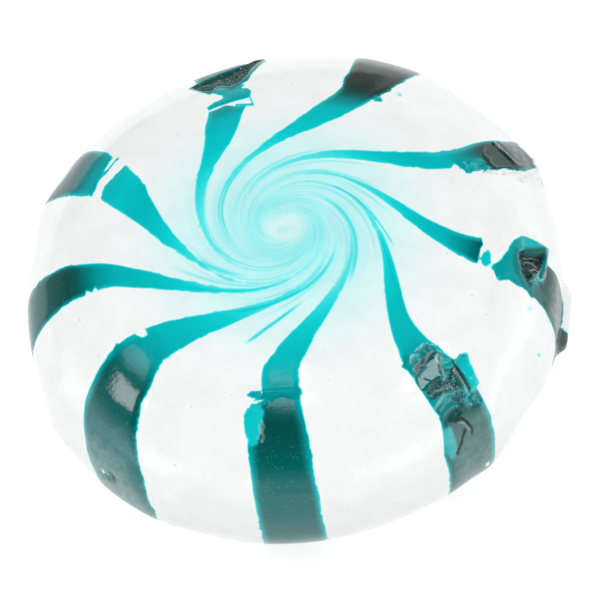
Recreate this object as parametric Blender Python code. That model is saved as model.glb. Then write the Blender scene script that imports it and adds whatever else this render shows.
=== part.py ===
"""Swirl hard candy: one pressed, pillow-shaped drop of boiled sugar.

Nine stripes of turquoise sugar run up the side, stand a little proud there, and
twist together at the middle of each face. Handling has knocked flat-sided chips
out of the stripes along the shoulder. The drop lies on a small flat spot.

Metres, +Z up. The origin is on the flat spot, under the middle of the outline.
An arc is a distance along the surface from the middle of the upper face. An
azimuth is in degrees about +Z, from +X towards +Y.
"""
import math
from bisect import bisect_left
from collections import namedtuple

import bmesh
import bpy
from mathutils import Vector

MM = 0.001

# Driving dimensions of the drop
RADIUS = 12.0 * MM
THICKNESS = 10.65 * MM
FULLNESS = 2.5  # exponent of the rounded profile: 2 is an ellipse, more is boxier
FOOT_DEPTH = 0.15 * MM  # height of the cap that the flat spot takes off

# Slow waves in the outline: how many, how high, and where the first one peaks
Wave = namedtuple("Wave", "count height azimuth")
WAVES = (
    Wave(2, 0.155 * MM, 49.0),
    Wave(3, 0.030 * MM, 13.0),
    Wave(4, 0.095 * MM, 47.0),
    Wave(5, 0.030 * MM, -5.0),
)

# The twist of the stripes on a face
TWIST = 37.0  # degrees that a stripe turns by half way in from TWIST_START
TWIST_START = 8.5 * MM
TWIST_POWER = 1.45
TWIST_END = 4.0 * MM  # nearer the middle the mesh stops turning with the stripes

# Where the widths below are measured, and where a stripe starts to lean
SIDE_ARC = 11.0 * MM
SHOULDER_ARC = 8.0 * MM
FACE_ARC = 5.0 * MM
LEAN_START = 9.0 * MM
LEAN_END = 16.0 * MM
RAISED = 0.12 * MM  # how far a stripe stands proud of the white on the side

# azimuth of the stripe at the shoulder, sweep as a share of TWIST, lean in degrees
# for each millimetre down the side, and the widths on the side, shoulder and face
Stripe = namedtuple("Stripe", "azimuth sweep lean side shoulder face")
STRIPES = (
    Stripe(19.6, 0.93, 0.0, 2.1 * MM, 1.0 * MM, 0.85 * MM),
    Stripe(59.9, 1.16, 0.0, 2.8 * MM, 1.6 * MM, 1.50 * MM),
    Stripe(100.8, 1.17, -0.3, 2.5 * MM, 1.8 * MM, 1.40 * MM),
    Stripe(149.0, 1.11, -0.9, 2.8 * MM, 2.0 * MM, 1.15 * MM),
    Stripe(185.0, 0.82, -0.4, 2.2 * MM, 1.2 * MM, 0.75 * MM),
    Stripe(214.9, 0.83, 1.4, 2.9 * MM, 1.7 * MM, 1.20 * MM),
    Stripe(259.4, 0.94, 0.4, 2.6 * MM, 1.6 * MM, 1.20 * MM),
    Stripe(304.9, 1.00, -0.5, 2.4 * MM, 1.3 * MM, 1.00 * MM),
    Stripe(344.9, 0.87, -0.5, 2.3 * MM, 1.1 * MM, 0.70 * MM),
)

# Chips: middle, size round and down the drop, depth, turn of the outline in degrees,
# number of flat walls, and how much deeper the lower end is than the upper
Chip = namedtuple("Chip", "azimuth arc width length depth turn walls dip")
CHIPS = (
    Chip(19.5, 10.6 * MM, 1.7 * MM, 2.0 * MM, 0.30 * MM, 20.0, 5, 0.3),
    Chip(99.0, 9.9 * MM, 2.3 * MM, 1.5 * MM, 0.45 * MM, 10.0, 6, 0.2),
    Chip(100.5, 8.5 * MM, 2.0 * MM, 0.9 * MM, 0.20 * MM, 25.0, 4, 0.0),
    Chip(146.5, 8.95 * MM, 2.6 * MM, 0.8 * MM, 0.25 * MM, 0.0, 4, 0.0),
    Chip(211.0, 9.5 * MM, 1.5 * MM, 1.6 * MM, 0.15 * MM, 15.0, 5, 0.3),
    Chip(222.0, 14.0 * MM, 1.0 * MM, 0.9 * MM, 0.20 * MM, 0.0, 5, 0.0),
    Chip(258.0, 7.9 * MM, 2.2 * MM, 1.0 * MM, 0.20 * MM, 0.0, 4, -0.2),
    Chip(302.5, 8.3 * MM, 1.6 * MM, 1.6 * MM, 0.30 * MM, 30.0, 5, 0.4),
    Chip(304.5, 10.0 * MM, 2.2 * MM, 2.2 * MM, 0.40 * MM, 10.0, 6, -0.3),
    Chip(302.0, 12.0 * MM, 1.8 * MM, 1.6 * MM, 0.25 * MM, 40.0, 5, 0.2),
    Chip(342.5, 8.9 * MM, 1.7 * MM, 0.9 * MM, 0.25 * MM, 15.0, 4, 0.0),
    Chip(345.5, 10.3 * MM, 2.4 * MM, 2.0 * MM, 0.75 * MM, 35.0, 6, 0.3),
)
WALL_SHARE = 0.45  # share of a chip's half size that its sloping walls take

# A flat knocked off the far edge: the way it faces, and how deep it cuts
Flat = namedtuple("Flat", "azimuth elevation depth")
FLAT = Flat(103.0, 28.0, 0.22 * MM)

# Mesh
MID_COLUMNS = 3  # columns inside a stripe, between the ones at its edges
GAP_COLUMNS = 5  # columns in the white between two stripes
EDGE_STEP = 0.12 * MM  # a stripe's edge rises over twice this
EDGE_SHARE = 0.3  # most of a narrow stripe's half width that its edge may take
CORE_SHARE = 3  # outer columns for each column at the middle of a face
CORE_RINGS = (0.9 * MM, 1.7 * MM, 2.6 * MM)
# from an arc on, the distance between rings
RING_STEPS = (
    (3.4 * MM, 0.70 * MM),
    (7.2 * MM, 0.42 * MM),
    (12.6 * MM, 0.80 * MM),
    (17.0 * MM, 1.05 * MM),
)
PROFILE_STEPS = 4000
SHARP_ANGLE = 28.0

WHITE = (0.88, 0.92, 0.91, 1.0)
TURQUOISE = (0.0, 0.52, 0.56, 1.0)
GLOSS_ROUGHNESS = 0.12


def turned_profile():
    """Arc, radius and height of the rounded profile, from the top to the bottom."""
    rows = []
    arc = 0.0
    for step in range(PROFILE_STEPS + 1):
        angle = math.pi / 2 - math.pi * step / PROFILE_STEPS
        power = 2.0 / FULLNESS
        radius = RADIUS * abs(math.cos(angle)) ** power
        height = THICKNESS / 2 * math.copysign(abs(math.sin(angle)) ** power, math.sin(angle))
        if step == 0:
            radius = 0.0
        if rows:
            arc += math.hypot(radius - rows[-1][1], height - rows[-1][2])
        rows.append((arc, radius, height))
    return rows


PROFILE = turned_profile()
PROFILE_ARCS = [row[0] for row in PROFILE]
TOTAL_ARC = PROFILE_ARCS[-1]


def profile_at(arc):
    """Radius and height at an arc, and the outward normal there."""
    index = min(max(bisect_left(PROFILE_ARCS, arc), 1), PROFILE_STEPS)
    arc_0, radius_0, height_0 = PROFILE[index - 1]
    arc_1, radius_1, height_1 = PROFILE[index]
    share = (arc - arc_0) / (arc_1 - arc_0)
    radius = radius_0 + share * (radius_1 - radius_0)
    height = height_0 + share * (height_1 - height_0)
    run = (radius_1 - radius_0) / (arc_1 - arc_0)
    drop = (height_1 - height_0) / (arc_1 - arc_0)
    return radius, height, -drop, run


def smooth_step(low, high, value):
    share = min(max((value - low) / (high - low), 0.0), 1.0)
    return share * share * (3.0 - 2.0 * share)


def from_nearer_face(arc):
    """The arc measured from the middle of the nearer face."""
    return min(arc, TOTAL_ARC - arc)


def outline_share(azimuth):
    """How far the outline reaches at an azimuth, as a share of the plain radius."""
    reach = sum(w.height * math.cos(math.radians(w.count * (azimuth - w.azimuth))) for w in WAVES)
    return 1.0 + reach / RADIUS


def twist_at(arc):
    """Degrees by which the face has turned a plain stripe at an arc from its middle."""
    return TWIST * max(TWIST_START / max(arc, TWIST_END) - 1.0, 0.0) ** TWIST_POWER


def stripe_azimuth(stripe, arc):
    """Middle of a stripe: it leans down the side, and turns alike seen from each face."""
    leaning = min(max(arc, LEAN_START), LEAN_END) - LEAN_START
    turn = stripe.sweep * twist_at(from_nearer_face(arc))
    if arc > TOTAL_ARC / 2:
        turn = -turn
    return stripe.azimuth + stripe.lean * leaning / MM + turn


def stripe_width(stripe, arc):
    near = from_nearer_face(arc)
    if near < SHOULDER_ARC:
        share = smooth_step(FACE_ARC, SHOULDER_ARC, near)
        return stripe.face + share * (stripe.shoulder - stripe.face)
    share = smooth_step(SHOULDER_ARC, SIDE_ARC, near)
    return stripe.shoulder + share * (stripe.side - stripe.shoulder)


def raised_at(arc):
    """Height of a stripe over the white: full on the side, none on the faces."""
    return RAISED * smooth_step(FACE_ARC, SHOULDER_ARC, from_nearer_face(arc))


def chip_depth(chip, azimuth, arc, radius):
    """Depth of a chip at a point: a flat floor inside flat sloping walls."""
    turned = (azimuth - chip.azimuth + 180.0) % 360.0 - 180.0
    across = radius * math.radians(turned) / (chip.width / 2)
    down = (arc - chip.arc) / (chip.length / 2)
    reach = 0.0
    for wall in range(chip.walls):
        facing = math.radians(chip.turn + 360.0 * wall / chip.walls)
        reach = max(reach, across * math.cos(facing) + down * math.sin(facing))
    inside = min(max((1.0 - reach) / WALL_SHARE, 0.0), 1.0)
    return chip.depth * inside * (1.0 + chip.dip * down)


def flatten(point, normal):
    """Moves a point that stands past the flat back onto it, along its own normal."""
    facing = Vector((
        math.cos(math.radians(FLAT.azimuth)) * math.cos(math.radians(FLAT.elevation)),
        math.sin(math.radians(FLAT.azimuth)) * math.cos(math.radians(FLAT.elevation)),
        math.sin(math.radians(FLAT.elevation)),
    ))
    farthest = max(
        row[1] * math.cos(math.radians(FLAT.elevation)) + row[2] * math.sin(math.radians(FLAT.elevation))
        for row in PROFILE[::40]
    )
    excess = point.dot(facing) - (farthest - FLAT.depth)
    slope = normal.dot(facing)
    if excess > 0.0 and slope > 0.5:
        return point - normal * (excess / slope)
    return point


def surface_point(azimuth, arc, raised):
    radius, height, out, up = profile_at(arc)
    direction = math.radians(azimuth)
    reach = radius * outline_share(azimuth)
    point = Vector((reach * math.cos(direction), reach * math.sin(direction), height))
    normal = Vector((out * math.cos(direction), out * math.sin(direction), up))
    depth = max(chip_depth(chip, azimuth, arc, radius) for chip in CHIPS)
    point = flatten(point + normal * (raised - depth), normal)
    point.z = max(point.z, FOOT_DEPTH - THICKNESS / 2)
    return point


def column_places(arc):
    """Azimuth and height over the white of every column of a ring."""
    radius = profile_at(arc)[0]
    middles = [stripe_azimuth(stripe, arc) for stripe in STRIPES]
    halves = [math.degrees(stripe_width(stripe, arc) / 2 / radius) for stripe in STRIPES]
    steps = [min(math.degrees(EDGE_STEP / radius), EDGE_SHARE * half) for half in halves]
    places = []
    for index, middle in enumerate(middles):
        half, step = halves[index], steps[index]
        raised = raised_at(arc)
        places.append((middle - half - step, 0.0))
        for column in range(MID_COLUMNS + 2):
            share = 2.0 * column / (MID_COLUMNS + 1) - 1.0
            places.append((middle + share * (half - step), raised))
        places.append((middle + half + step, 0.0))
        following = (index + 1) % len(STRIPES)
        start = middle + half + step
        end = middles[following] - halves[following] - steps[following]
        if following == 0:
            end += 360.0
        for column in range(1, GAP_COLUMNS + 1):
            places.append((start + (end - start) * column / (GAP_COLUMNS + 1), 0.0))
    return places


def foot_arc():
    """Arc at which the underside meets the flat spot."""
    return next(row[0] for row in PROFILE if row[2] <= FOOT_DEPTH - THICKNESS / 2)


def ring_arcs():
    """Arcs of the full rings, close together where the chips are, down to the foot."""
    last = foot_arc()
    arcs = [RING_STEPS[0][0]]
    while True:
        step = [size for start, size in RING_STEPS if arcs[-1] >= start - MM / 1000][-1]
        if arcs[-1] + 1.5 * step > last:
            return arcs + [last]
        arcs.append(arcs[-1] + step)


def add_ring(mesh, places, arc):
    return [mesh.verts.new(surface_point(azimuth, arc, raised)) for azimuth, raised in places]


def join_rings(mesh, upper, lower):
    """Quads between two rings with the same number of columns."""
    for index in range(len(upper)):
        following = (index + 1) % len(upper)
        mesh.faces.new((upper[index], lower[index], lower[following], upper[following]))


def join_core(mesh, core, ring):
    """Fans between the last core ring and the first full one."""
    for index in range(len(core)):
        following = (index + 1) % len(core)
        outer = [ring[(index * CORE_SHARE + share) % len(ring)] for share in range(CORE_SHARE + 1)]
        mesh.faces.new([core[index]] + outer + [core[following]])


def candy_mesh():
    mesh = bmesh.new()
    first = ring_arcs()[0]
    core_places = [(azimuth, 0.0) for azimuth, _ in column_places(first)[::CORE_SHARE]]
    cores = [add_ring(mesh, core_places, arc) for arc in CORE_RINGS]
    rings = [add_ring(mesh, column_places(arc), arc) for arc in ring_arcs()]
    top = mesh.verts.new(surface_point(0.0, 0.0, 0.0))
    for index in range(len(cores[0])):
        mesh.faces.new((top, cores[0][index], cores[0][(index + 1) % len(cores[0])]))
    for upper, lower in zip(cores, cores[1:]):
        join_rings(mesh, upper, lower)
    join_core(mesh, cores[-1], rings[0])
    for upper, lower in zip(rings, rings[1:]):
        join_rings(mesh, upper, lower)
    for vertex in rings[-1]:
        vertex.co.z = FOOT_DEPTH - THICKNESS / 2
    mesh.faces.new(rings[-1][::-1])
    return mesh


def stand_on_origin(mesh):
    """Puts the middle of the outline over the origin, and the foot at zero."""
    lows = [min(vertex.co[axis] for vertex in mesh.verts) for axis in range(3)]
    highs = [max(vertex.co[axis] for vertex in mesh.verts) for axis in range(3)]
    shift = Vector((-(lows[0] + highs[0]) / 2, -(lows[1] + highs[1]) / 2, -lows[2]))
    for vertex in mesh.verts:
        vertex.co += shift


def sugar(name, colour):
    material = bpy.data.materials.new(name)
    material.use_nodes = True
    shader = material.node_tree.nodes["Principled BSDF"]
    shader.inputs["Base Color"].default_value = colour
    shader.inputs["Roughness"].default_value = GLOSS_ROUGHNESS
    shader.inputs["Metallic"].default_value = 0.0
    material.diffuse_color = colour
    return material


def paint_stripes(data):
    """Gives the turquoise to the faces between the inner columns of a stripe."""
    data.materials.append(sugar("white_sugar", WHITE))
    data.materials.append(sugar("turquoise_sugar", TURQUOISE))
    sector = MID_COLUMNS + 4 + GAP_COLUMNS
    columns = sector * len(STRIPES)
    core_faces = columns // CORE_SHARE * (len(CORE_RINGS) + 1)
    for face in data.polygons:
        column = (face.index - core_faces) % columns % sector
        striped = face.index >= core_faces and 1 <= column <= MID_COLUMNS + 1
        if striped and face.index < len(data.polygons) - 1:
            face.material_index = 1


def make_candy():
    mesh = candy_mesh()
    stand_on_origin(mesh)
    mesh.normal_update()
    data = bpy.data.meshes.new("candy")
    mesh.to_mesh(data)
    mesh.free()
    paint_stripes(data)
    data.shade_smooth()
    data.set_sharp_from_angle(angle=math.radians(SHARP_ANGLE))
    candy = bpy.data.objects.new("candy", data)
    bpy.context.scene.collection.objects.link(candy)
    return candy


for old in list(bpy.data.objects):
    bpy.data.objects.remove(old, do_unlink=True)
make_candy()
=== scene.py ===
"""Looks of the swirl hard candy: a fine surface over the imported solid, boiled-sugar
material, soft studio light and the camera.

Shape values are in millimetres and degrees. An arc is a distance along the surface
from the middle of the upper face, an azimuth is about +Z from +X towards +Y, and
"across" is along a ring, towards a growing azimuth.
"""

import math
from collections import namedtuple

import bpy
import numpy as np
from mathutils import Matrix, Vector, noise


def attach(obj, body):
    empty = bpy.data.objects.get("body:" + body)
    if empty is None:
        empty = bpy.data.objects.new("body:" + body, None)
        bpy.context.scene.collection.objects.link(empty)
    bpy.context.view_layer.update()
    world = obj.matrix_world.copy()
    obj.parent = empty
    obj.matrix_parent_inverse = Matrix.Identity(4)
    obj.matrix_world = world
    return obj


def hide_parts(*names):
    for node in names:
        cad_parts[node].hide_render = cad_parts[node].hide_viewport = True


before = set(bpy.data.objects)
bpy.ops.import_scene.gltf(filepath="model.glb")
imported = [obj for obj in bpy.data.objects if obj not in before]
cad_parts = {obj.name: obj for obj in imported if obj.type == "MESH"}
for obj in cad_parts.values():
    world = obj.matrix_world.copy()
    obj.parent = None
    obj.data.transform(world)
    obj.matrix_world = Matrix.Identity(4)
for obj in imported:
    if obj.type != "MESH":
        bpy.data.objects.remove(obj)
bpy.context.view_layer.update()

MM = 0.001

# The drop, as the solid has it
RADIUS = 12.0
THICKNESS = 10.65
FULLNESS = 2.5
FOOT_DEPTH = 0.15
PLAN_SHIFT = (0.009, 0.057)  # from the middle of the profile to the middle of the outline
Wave = namedtuple("Wave", "count height azimuth")
WAVES = (Wave(2, 0.155, 49.0), Wave(3, 0.030, 13.0), Wave(4, 0.095, 47.0), Wave(5, 0.030, -5.0))

# The twist of the stripes on a face
TWIST = 37.0
TWIST_START = 8.5
TWIST_POWER = 1.45
SPIRAL_FROM = 3.5  # inside this arc the stripes keep one slant
SPIRAL_SLANT = 2.65
INNERMOST = 0.3
RAISED = 0.03
RAISED_ARCS = (5.0, 8.5)
RAISED_EDGE = (-0.05, 0.3)
UNEVEN = ((0.022, 3.0), (0.006, 0.9))  # height and size of the unevenness of the surface

# The stripes in turn: right, far right, far, far left, left, near left, near, near right
# and lower right. Each has its azimuth, its sweep, how much later its turquoise thickens
# and by how much more, how far in from its low and high edge it is paler, and how far its
# two edges lie from its middle line at each of these arcs
EDGE_ARCS = (2.4, 4.0, 5.5, 7.0, 8.0, 9.0, 10.0, 11.5, 13.0, 15.0)
Stripe = namedtuple("Stripe", "azimuth sweep onset thick rims low high")
STRIPES = (
    Stripe(19.6, 0.93, 1, 1.7, (0.25, 0.3), (0, -0.4, -0.45, -0.5, -0.4, -0.75, -0.85, -0.9, -0.95, -0.95),
        (0, 0.4, 0.4, 0.5, 0.55, 0.6, 0.75, 0.85, 0.9, 0.9)),
    Stripe(59.9, 1.16, -0.5, 2, (0.2, 0.25), (0, -0.3, -0.75, -0.75, -0.7, -1.05, -1.3, -1.5, -1.5, -1.5),
        (0, 0.2, 0.5, 0.8, 0.8, 1, 1.1, 1.4, 1.4, 1.4)),
    Stripe(100.8, 1.17, -0.3, 1.3, (0.25, 0.3), (0, -0.5, -0.9, -0.7, -0.9, -1.05, -1.4, -1.5, -1.5, -1.5),
        (0, 0.5, 0.55, 1.05, 1, 1.1, 1, 1.1, 1.15, 1.15)),
    Stripe(149, 1.11, 1.9, 1, (0.25, 0.3), (0, -0.1, -0.2, -0.7, -0.95, -1.3, -1.8, -2.1, -2.2, -2.2),
        (0, 0.2, 0.95, 1.15, 1.15, 0.85, 0.7, 0.6, 0.65, 0.65)),
    Stripe(185, 0.82, 0.6, 1.1, (0.25, 0.25), (0, -0.15, -0.1, -0.4, -0.75, -1.15, -1.6, -1.9, -1.95, -1.95),
        (0, 0.35, 0.65, 0.65, 0.45, 0.4, 0.25, 0.4, 0.6, 0.6)),
    Stripe(214.9, 0.83, 0.3, 0.95, (0.45, 0.12), (0, -0.35, -0.55, -0.8, -0.95, -1.15, -1.1, -0.8, 0, 0.6),
        (0, 0.3, 0.65, 0.8, 0.9, 1.3, 1.55, 2.3, 3.3, 3.75)),
    Stripe(259.4, 0.94, -0.1, 1.05, (0.5, 0.5), (0, -0.65, -0.9, -1, -0.6, -1.2, -1.1, -0.95, -0.8, -0.7),
        (0, 0.25, 0.35, 0.55, 1, 1.2, 1.45, 1.7, 1.9, 2)),
    Stripe(304.9, 1, 0.8, 1.15, (0.25, 0.6), (0, -0.1, -0.5, -0.6, -0.65, -0.85, -0.95, -1.05, -1.65, -1.65),
        (0, 0.35, 0.45, 0.4, 0.65, 0.95, 1.1, 1.15, 0.95, 0.75)),
    Stripe(344.9, 0.87, 0, 1.7, (0.2, 0.3), (0, -0.25, -0.4, -0.45, -0.5, -0.6, -0.8, -1.05, -1.5, -1.85),
        (0, 0.2, 0.3, 0.45, 0.65, 0.8, 1, 1.5, 0.75, -0.4)),
)
RIM_NARROWING = 0.4  # share of the pale rim that is lost between these arcs
RIM_NARROWING_ARCS = (11.0, 12.5)
ONSET_ARCS = (6.5, 8.0)
SIDE_MIX = (15.0, 19.0)  # arcs between which the widths pass to the other face's

# Thin streams towards the middle: degrees off the stripe, where they start and end,
# half width and depth
STRAND_PLACES = (-8.0, 0.0, 8.0)
STRAND_START = (4.4, 5.6)
STRAND_END = (1.2, 3.0)
STRAND_WIDTH = (0.02, 0.06)
STRAND_DEPTH = (0.02, 0.15)
STRAND_DRIFT = 2.0
STRAND_SWEEP = 0.03
STRAND_LAG = 0.004  # sweep for each degree off the stripe
STRAND_FADES = (1.2, 1.0)  # arcs over which they set in at the end and fade at the start
# and some that stand out
Stream = namedtuple("Stream", "azimuth sweep start end width depth")
STREAMS = (
    Stream(237.9, 0.8, 6, 3.9, 0.045, 0.75), Stream(119.4, 0.89, 3.4, 2.3, 0.04, 0.25),
    Stream(167, 0.67, 4.3, 2.8, 0.08, 0.3), Stream(319.5, 0.83, 5, 2.4, 0.035, 0.4),
    Stream(307.2, 0.96, 6, 3.9, 0.04, 0.35), Stream(269, 0.91, 4.2, 1.9, 0.07, 0.3),
    Stream(207.6, 1.03, 4.8, 2.4, 0.07, 0.45), Stream(190.4, 0.75, 5.2, 2.6, 0.05, 0.35),
    Stream(60, 1.05, 4.2, 2.2, 0.05, 0.3),
)
STREAM_FADES = (0.7, 0.5)

# Places where turquoise is missing or added, as outlines of (azimuth, arc) points
GAPS = (
    ((251, 8.6), (252.5, 8.42), (256.5, 8.32), (256.3, 8.42), (254, 8.58)),
    ((207, 8), (207.5, 7.6), (209.8, 7.5), (212.2, 7.56), (211.5, 7.86), (209.4, 8)),
    ((158, 8.85), (150.5, 8.85), (147, 8.65), (141.5, 8.45), (136, 8.4), (136, 9.5), (140, 9.45),
        (148.8, 9.35), (158, 9.3)),
    ((336, 8.6), (346.5, 8.6), (348, 8.7), (351, 8.55), (358, 9), (358, 10.6), (354.8, 10.6),
        (351.5, 10.1), (348.2, 9.9), (345.5, 9.7), (343, 9.35), (341.5, 9.25), (336, 9.6)),
    ((113, 7.9), (107, 7.8), (103.5, 7.85), (101, 7.6), (92, 7.3), (88, 9), (86, 12.3), (90.5, 12.15),
        (94, 11.45), (98, 11), (102, 10.85), (106, 10.7), (110, 10.5), (113, 9)),
    ((14.5, 8.1), (17, 7.9), (18.9, 8.2), (17.4, 8.36), (15, 8.3)),
    ((188.5, 8.6), (185.8, 8.8), (187.5, 8.95), (185.5, 9.25), (189, 9.4), (190, 9)),
    ((226, 7.7), (223, 7.75), (221.8, 8.3), (224, 8.6), (227, 8.2)),
    ((295, 10.7), (299.4, 10.9), (299.8, 11.3), (298.4, 11.6), (295, 11.65)),
    ((313, 8.9), (310.9, 8.95), (310.7, 9.3), (311.8, 9.72), (314, 9.7)),
    ((306.1, 15.5), (306.6, 15.35), (307.4, 15.5), (307.5, 15.8), (306.8, 15.95), (306.2, 15.8)),
    ((219.2, 14.5), (219.8, 14), (220.9, 13.9), (220.9, 14.3), (220, 14.6)),
    ((9, 11.2), (14.5, 11.45), (16, 12.2), (17, 12.75), (21, 12.75), (23.6, 12.3), (25.5, 13.8),
        (22.6, 13.6), (21, 14.5), (18.6, 13.8), (15.5, 15), (12.5, 14.2), (9, 14.6)),
    ((354, 11.9), (351.5, 12.06), (349.1, 12.06), (349.3, 12.4), (348.9, 12.9), (347.2, 13.5), (345.6, 14),
        (343.2, 14.3), (341, 14.5), (341.2, 15), (343.5, 16.8), (358, 17.2), (359, 12.6)),
)
PATCHES = (
    (2, ((251.2, 8.2), (252.2, 8.02), (254.5, 7.98), (257, 8.1), (256.5, 8.3), (253, 8.28))),
    (2.2, ((266, 7.75), (267.5, 7.95), (267.6, 8.2), (266, 8.3))),
    (1.7, ((148, 9.35), (145, 9.27), (142, 9.2), (139.5, 9.18), (139.5, 9.08), (142.5, 9.14),
        (145.2, 9.22))),
    (2.2, ((17.4, 8.4), (13.9, 8.52), (14.4, 8.95), (15.8, 9.6), (18, 9.5), (18.4, 8.5))),
    (1.2, ((343.2, 8.7), (345.2, 8.8), (346.5, 9), (345, 9.1), (342.8, 9.18), (341, 9), (341.5, 8.8))),
    (2.2, ((341.5, 9.25), (345.5, 9.7), (351.5, 10.15), (354.2, 10.55), (354.1, 11.2), (353.9, 12.15),
        (351.5, 12.07), (349, 12.05), (344.5, 12), (344, 11.5), (339.5, 11.7), (339.5, 11.3),
        (340.8, 10.4), (338.5, 9.7), (340.2, 9.45))),
    (3.4, ((343, 10.45), (346, 10.25), (349.2, 10.35), (347, 11), (343, 11.4), (339.6, 11.8),
        (338.6, 11.4), (340.2, 11))),
    (4.5, ((339.3, 11.5), (341.6, 11.6), (341, 12.15), (338.8, 12))),
    (2, ((103.4, 8.8), (97, 8.72), (95.4, 9.1), (99, 9), (102.5, 9.45), (105, 9.25))),
    (1.9, ((108.8, 8.2), (109, 8), (105.5, 8), (95, 7.97), (94.2, 8.4), (95.2, 8.7), (98.8, 8.9),
        (102.5, 8.88), (103, 8.42), (106, 8.4))),
    (1.2, ((100.5, 7.65), (94.6, 7.32), (95, 7.95), (94.7, 7.85), (94.9, 7.45), (100, 7.72))),
    (3.4, ((109.4, 10.45), (107.5, 9.6), (105.8, 9.15), (102.5, 9.42), (99.5, 9), (96.5, 9.12),
        (94.3, 9.4), (91.5, 10.3), (89, 11.2), (87.8, 12.2), (90.5, 12.2), (94, 11.5), (98, 11.05),
        (102, 10.9), (106, 10.75))),
    (2.5, ((206.8, 8.85), (208.6, 8.8), (208.6, 9.1), (207.5, 9.1))),
    (2.2, ((53, 8.35), (52.4, 8.15), (54, 8), (54.5, 8.3))),
    (0.95, ((311.2, 9.8), (313.8, 9.8), (315.2, 9.98), (314.2, 10.3), (313.2, 10.8), (312.2, 11.28),
        (310.2, 11.42), (308.2, 11.3), (308.6, 10.2))),
    (2.6, ((298.7, 8.62), (301.4, 8.36), (302.5, 8.8), (299.8, 9.02))),
    (2.2, ((299.8, 10.62), (303.4, 10.6), (304.4, 10.9), (302, 11), (300, 11))),
    (1.7, ((298.7, 11.95), (300.3, 12.05), (299.7, 12.9), (298.6, 13.4), (298, 13), (298.2, 12.4))),
    (1.1, ((252, 8.78), (254.5, 8.65), (256, 8.9), (255.6, 9.6), (255, 10.2), (253.8, 10.3), (252.2, 9.8),
        (251.2, 9.1))),
    (3.2, ((300, 11.02), (304, 11.05), (304.6, 11.35), (302, 11.45), (299.9, 11.4))),
    # painted shade under the fin of the lower right stripe, as deep turquoise
    (6.5, ((344.5, 12.05), (349, 12.06), (349.3, 12.4), (347.5, 12.8))),
    (6.5, ((341, 14.5), (338.6, 14.72), (335.6, 14.98), (333.5, 15.6), (337.5, 16.6), (342.5, 16.2),
        (341.2, 15.1))),
    (0.1, ((49.4, 9.05), (50.1, 9.05), (49.9, 9.2))),
    (0.08, ((40.6, 11.1), (41.4, 11.08), (41, 11.22))),
    (0.07, ((316.4, 10.2), (317.2, 10.25), (316.8, 10.35))),
    (0.12, ((335.4, 11.45), (336.5, 11.48), (336.2, 11.6), (335.6, 11.58))),
    (0.05, ((328.8, 13), (329.6, 13.1), (329.2, 13.3))),
)
PATCH_EDGE = (-0.2, -0.04)
MARGIN = 0.6  # how far round an outline the vertices are looked at
# Where the outline stands out or in: middle, reach in degrees and rise
Bulge = namedtuple("Bulge", "azimuth reach rise")
BULGES = (
    Bulge(19, 13, 0.26), Bulge(41, 9, -0.1), Bulge(72, 14, 0.1), Bulge(103, 9, -0.1), Bulge(153, 11, 0.18),
    Bulge(203, 9, 0.16), Bulge(243, 9, -0.1), Bulge(310, 8, 0.15), Bulge(322, 7, -0.13),
)
BULGE_ARCS = (11.3, 13.0)
# and a lump at the right end of the lower right stripe
LUMP_RISE = 0.34
LUMP_SLOPE = 0.5
LUMP = (
    (337.5, 14.9), (341.5, 14.4), (346, 13.9), (351, 13.8), (352, 15.2), (348, 16.4), (341, 16.5),
    (337, 15.8),
)
# The flat on the far shoulder, as the solid has it
Flat = namedtuple("Flat", "azimuth elevation depth")
FLAT = Flat(103.0, 28.0, 0.22)
FLAT_FACING = 0.5

# Optical depth of the turquoise at the middle of a stripe, by arc
DEPTH_ARCS = (2.0, 3.0, 4.0, 4.5, 5.0, 5.5, 6.0, 7.0, 8.0, 8.5, 9.0, 9.5, 10.0, 11.0, 12.0)
DEPTHS = (0.06, 0.15, 0.34, 0.56, 0.85, 1.05, 1.2, 1.5, 2.3, 3.2, 4.6, 5.4, 5.2, 4.6, 4.0)
THIN = 1.5  # up to this depth the stripes are all alike

# Breaks in the surface
BREAK_WALL = 0.07
MAX_BREAK = 0.9
MAX_RISE = 0.08
LEAST_FACING = 0.3
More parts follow.
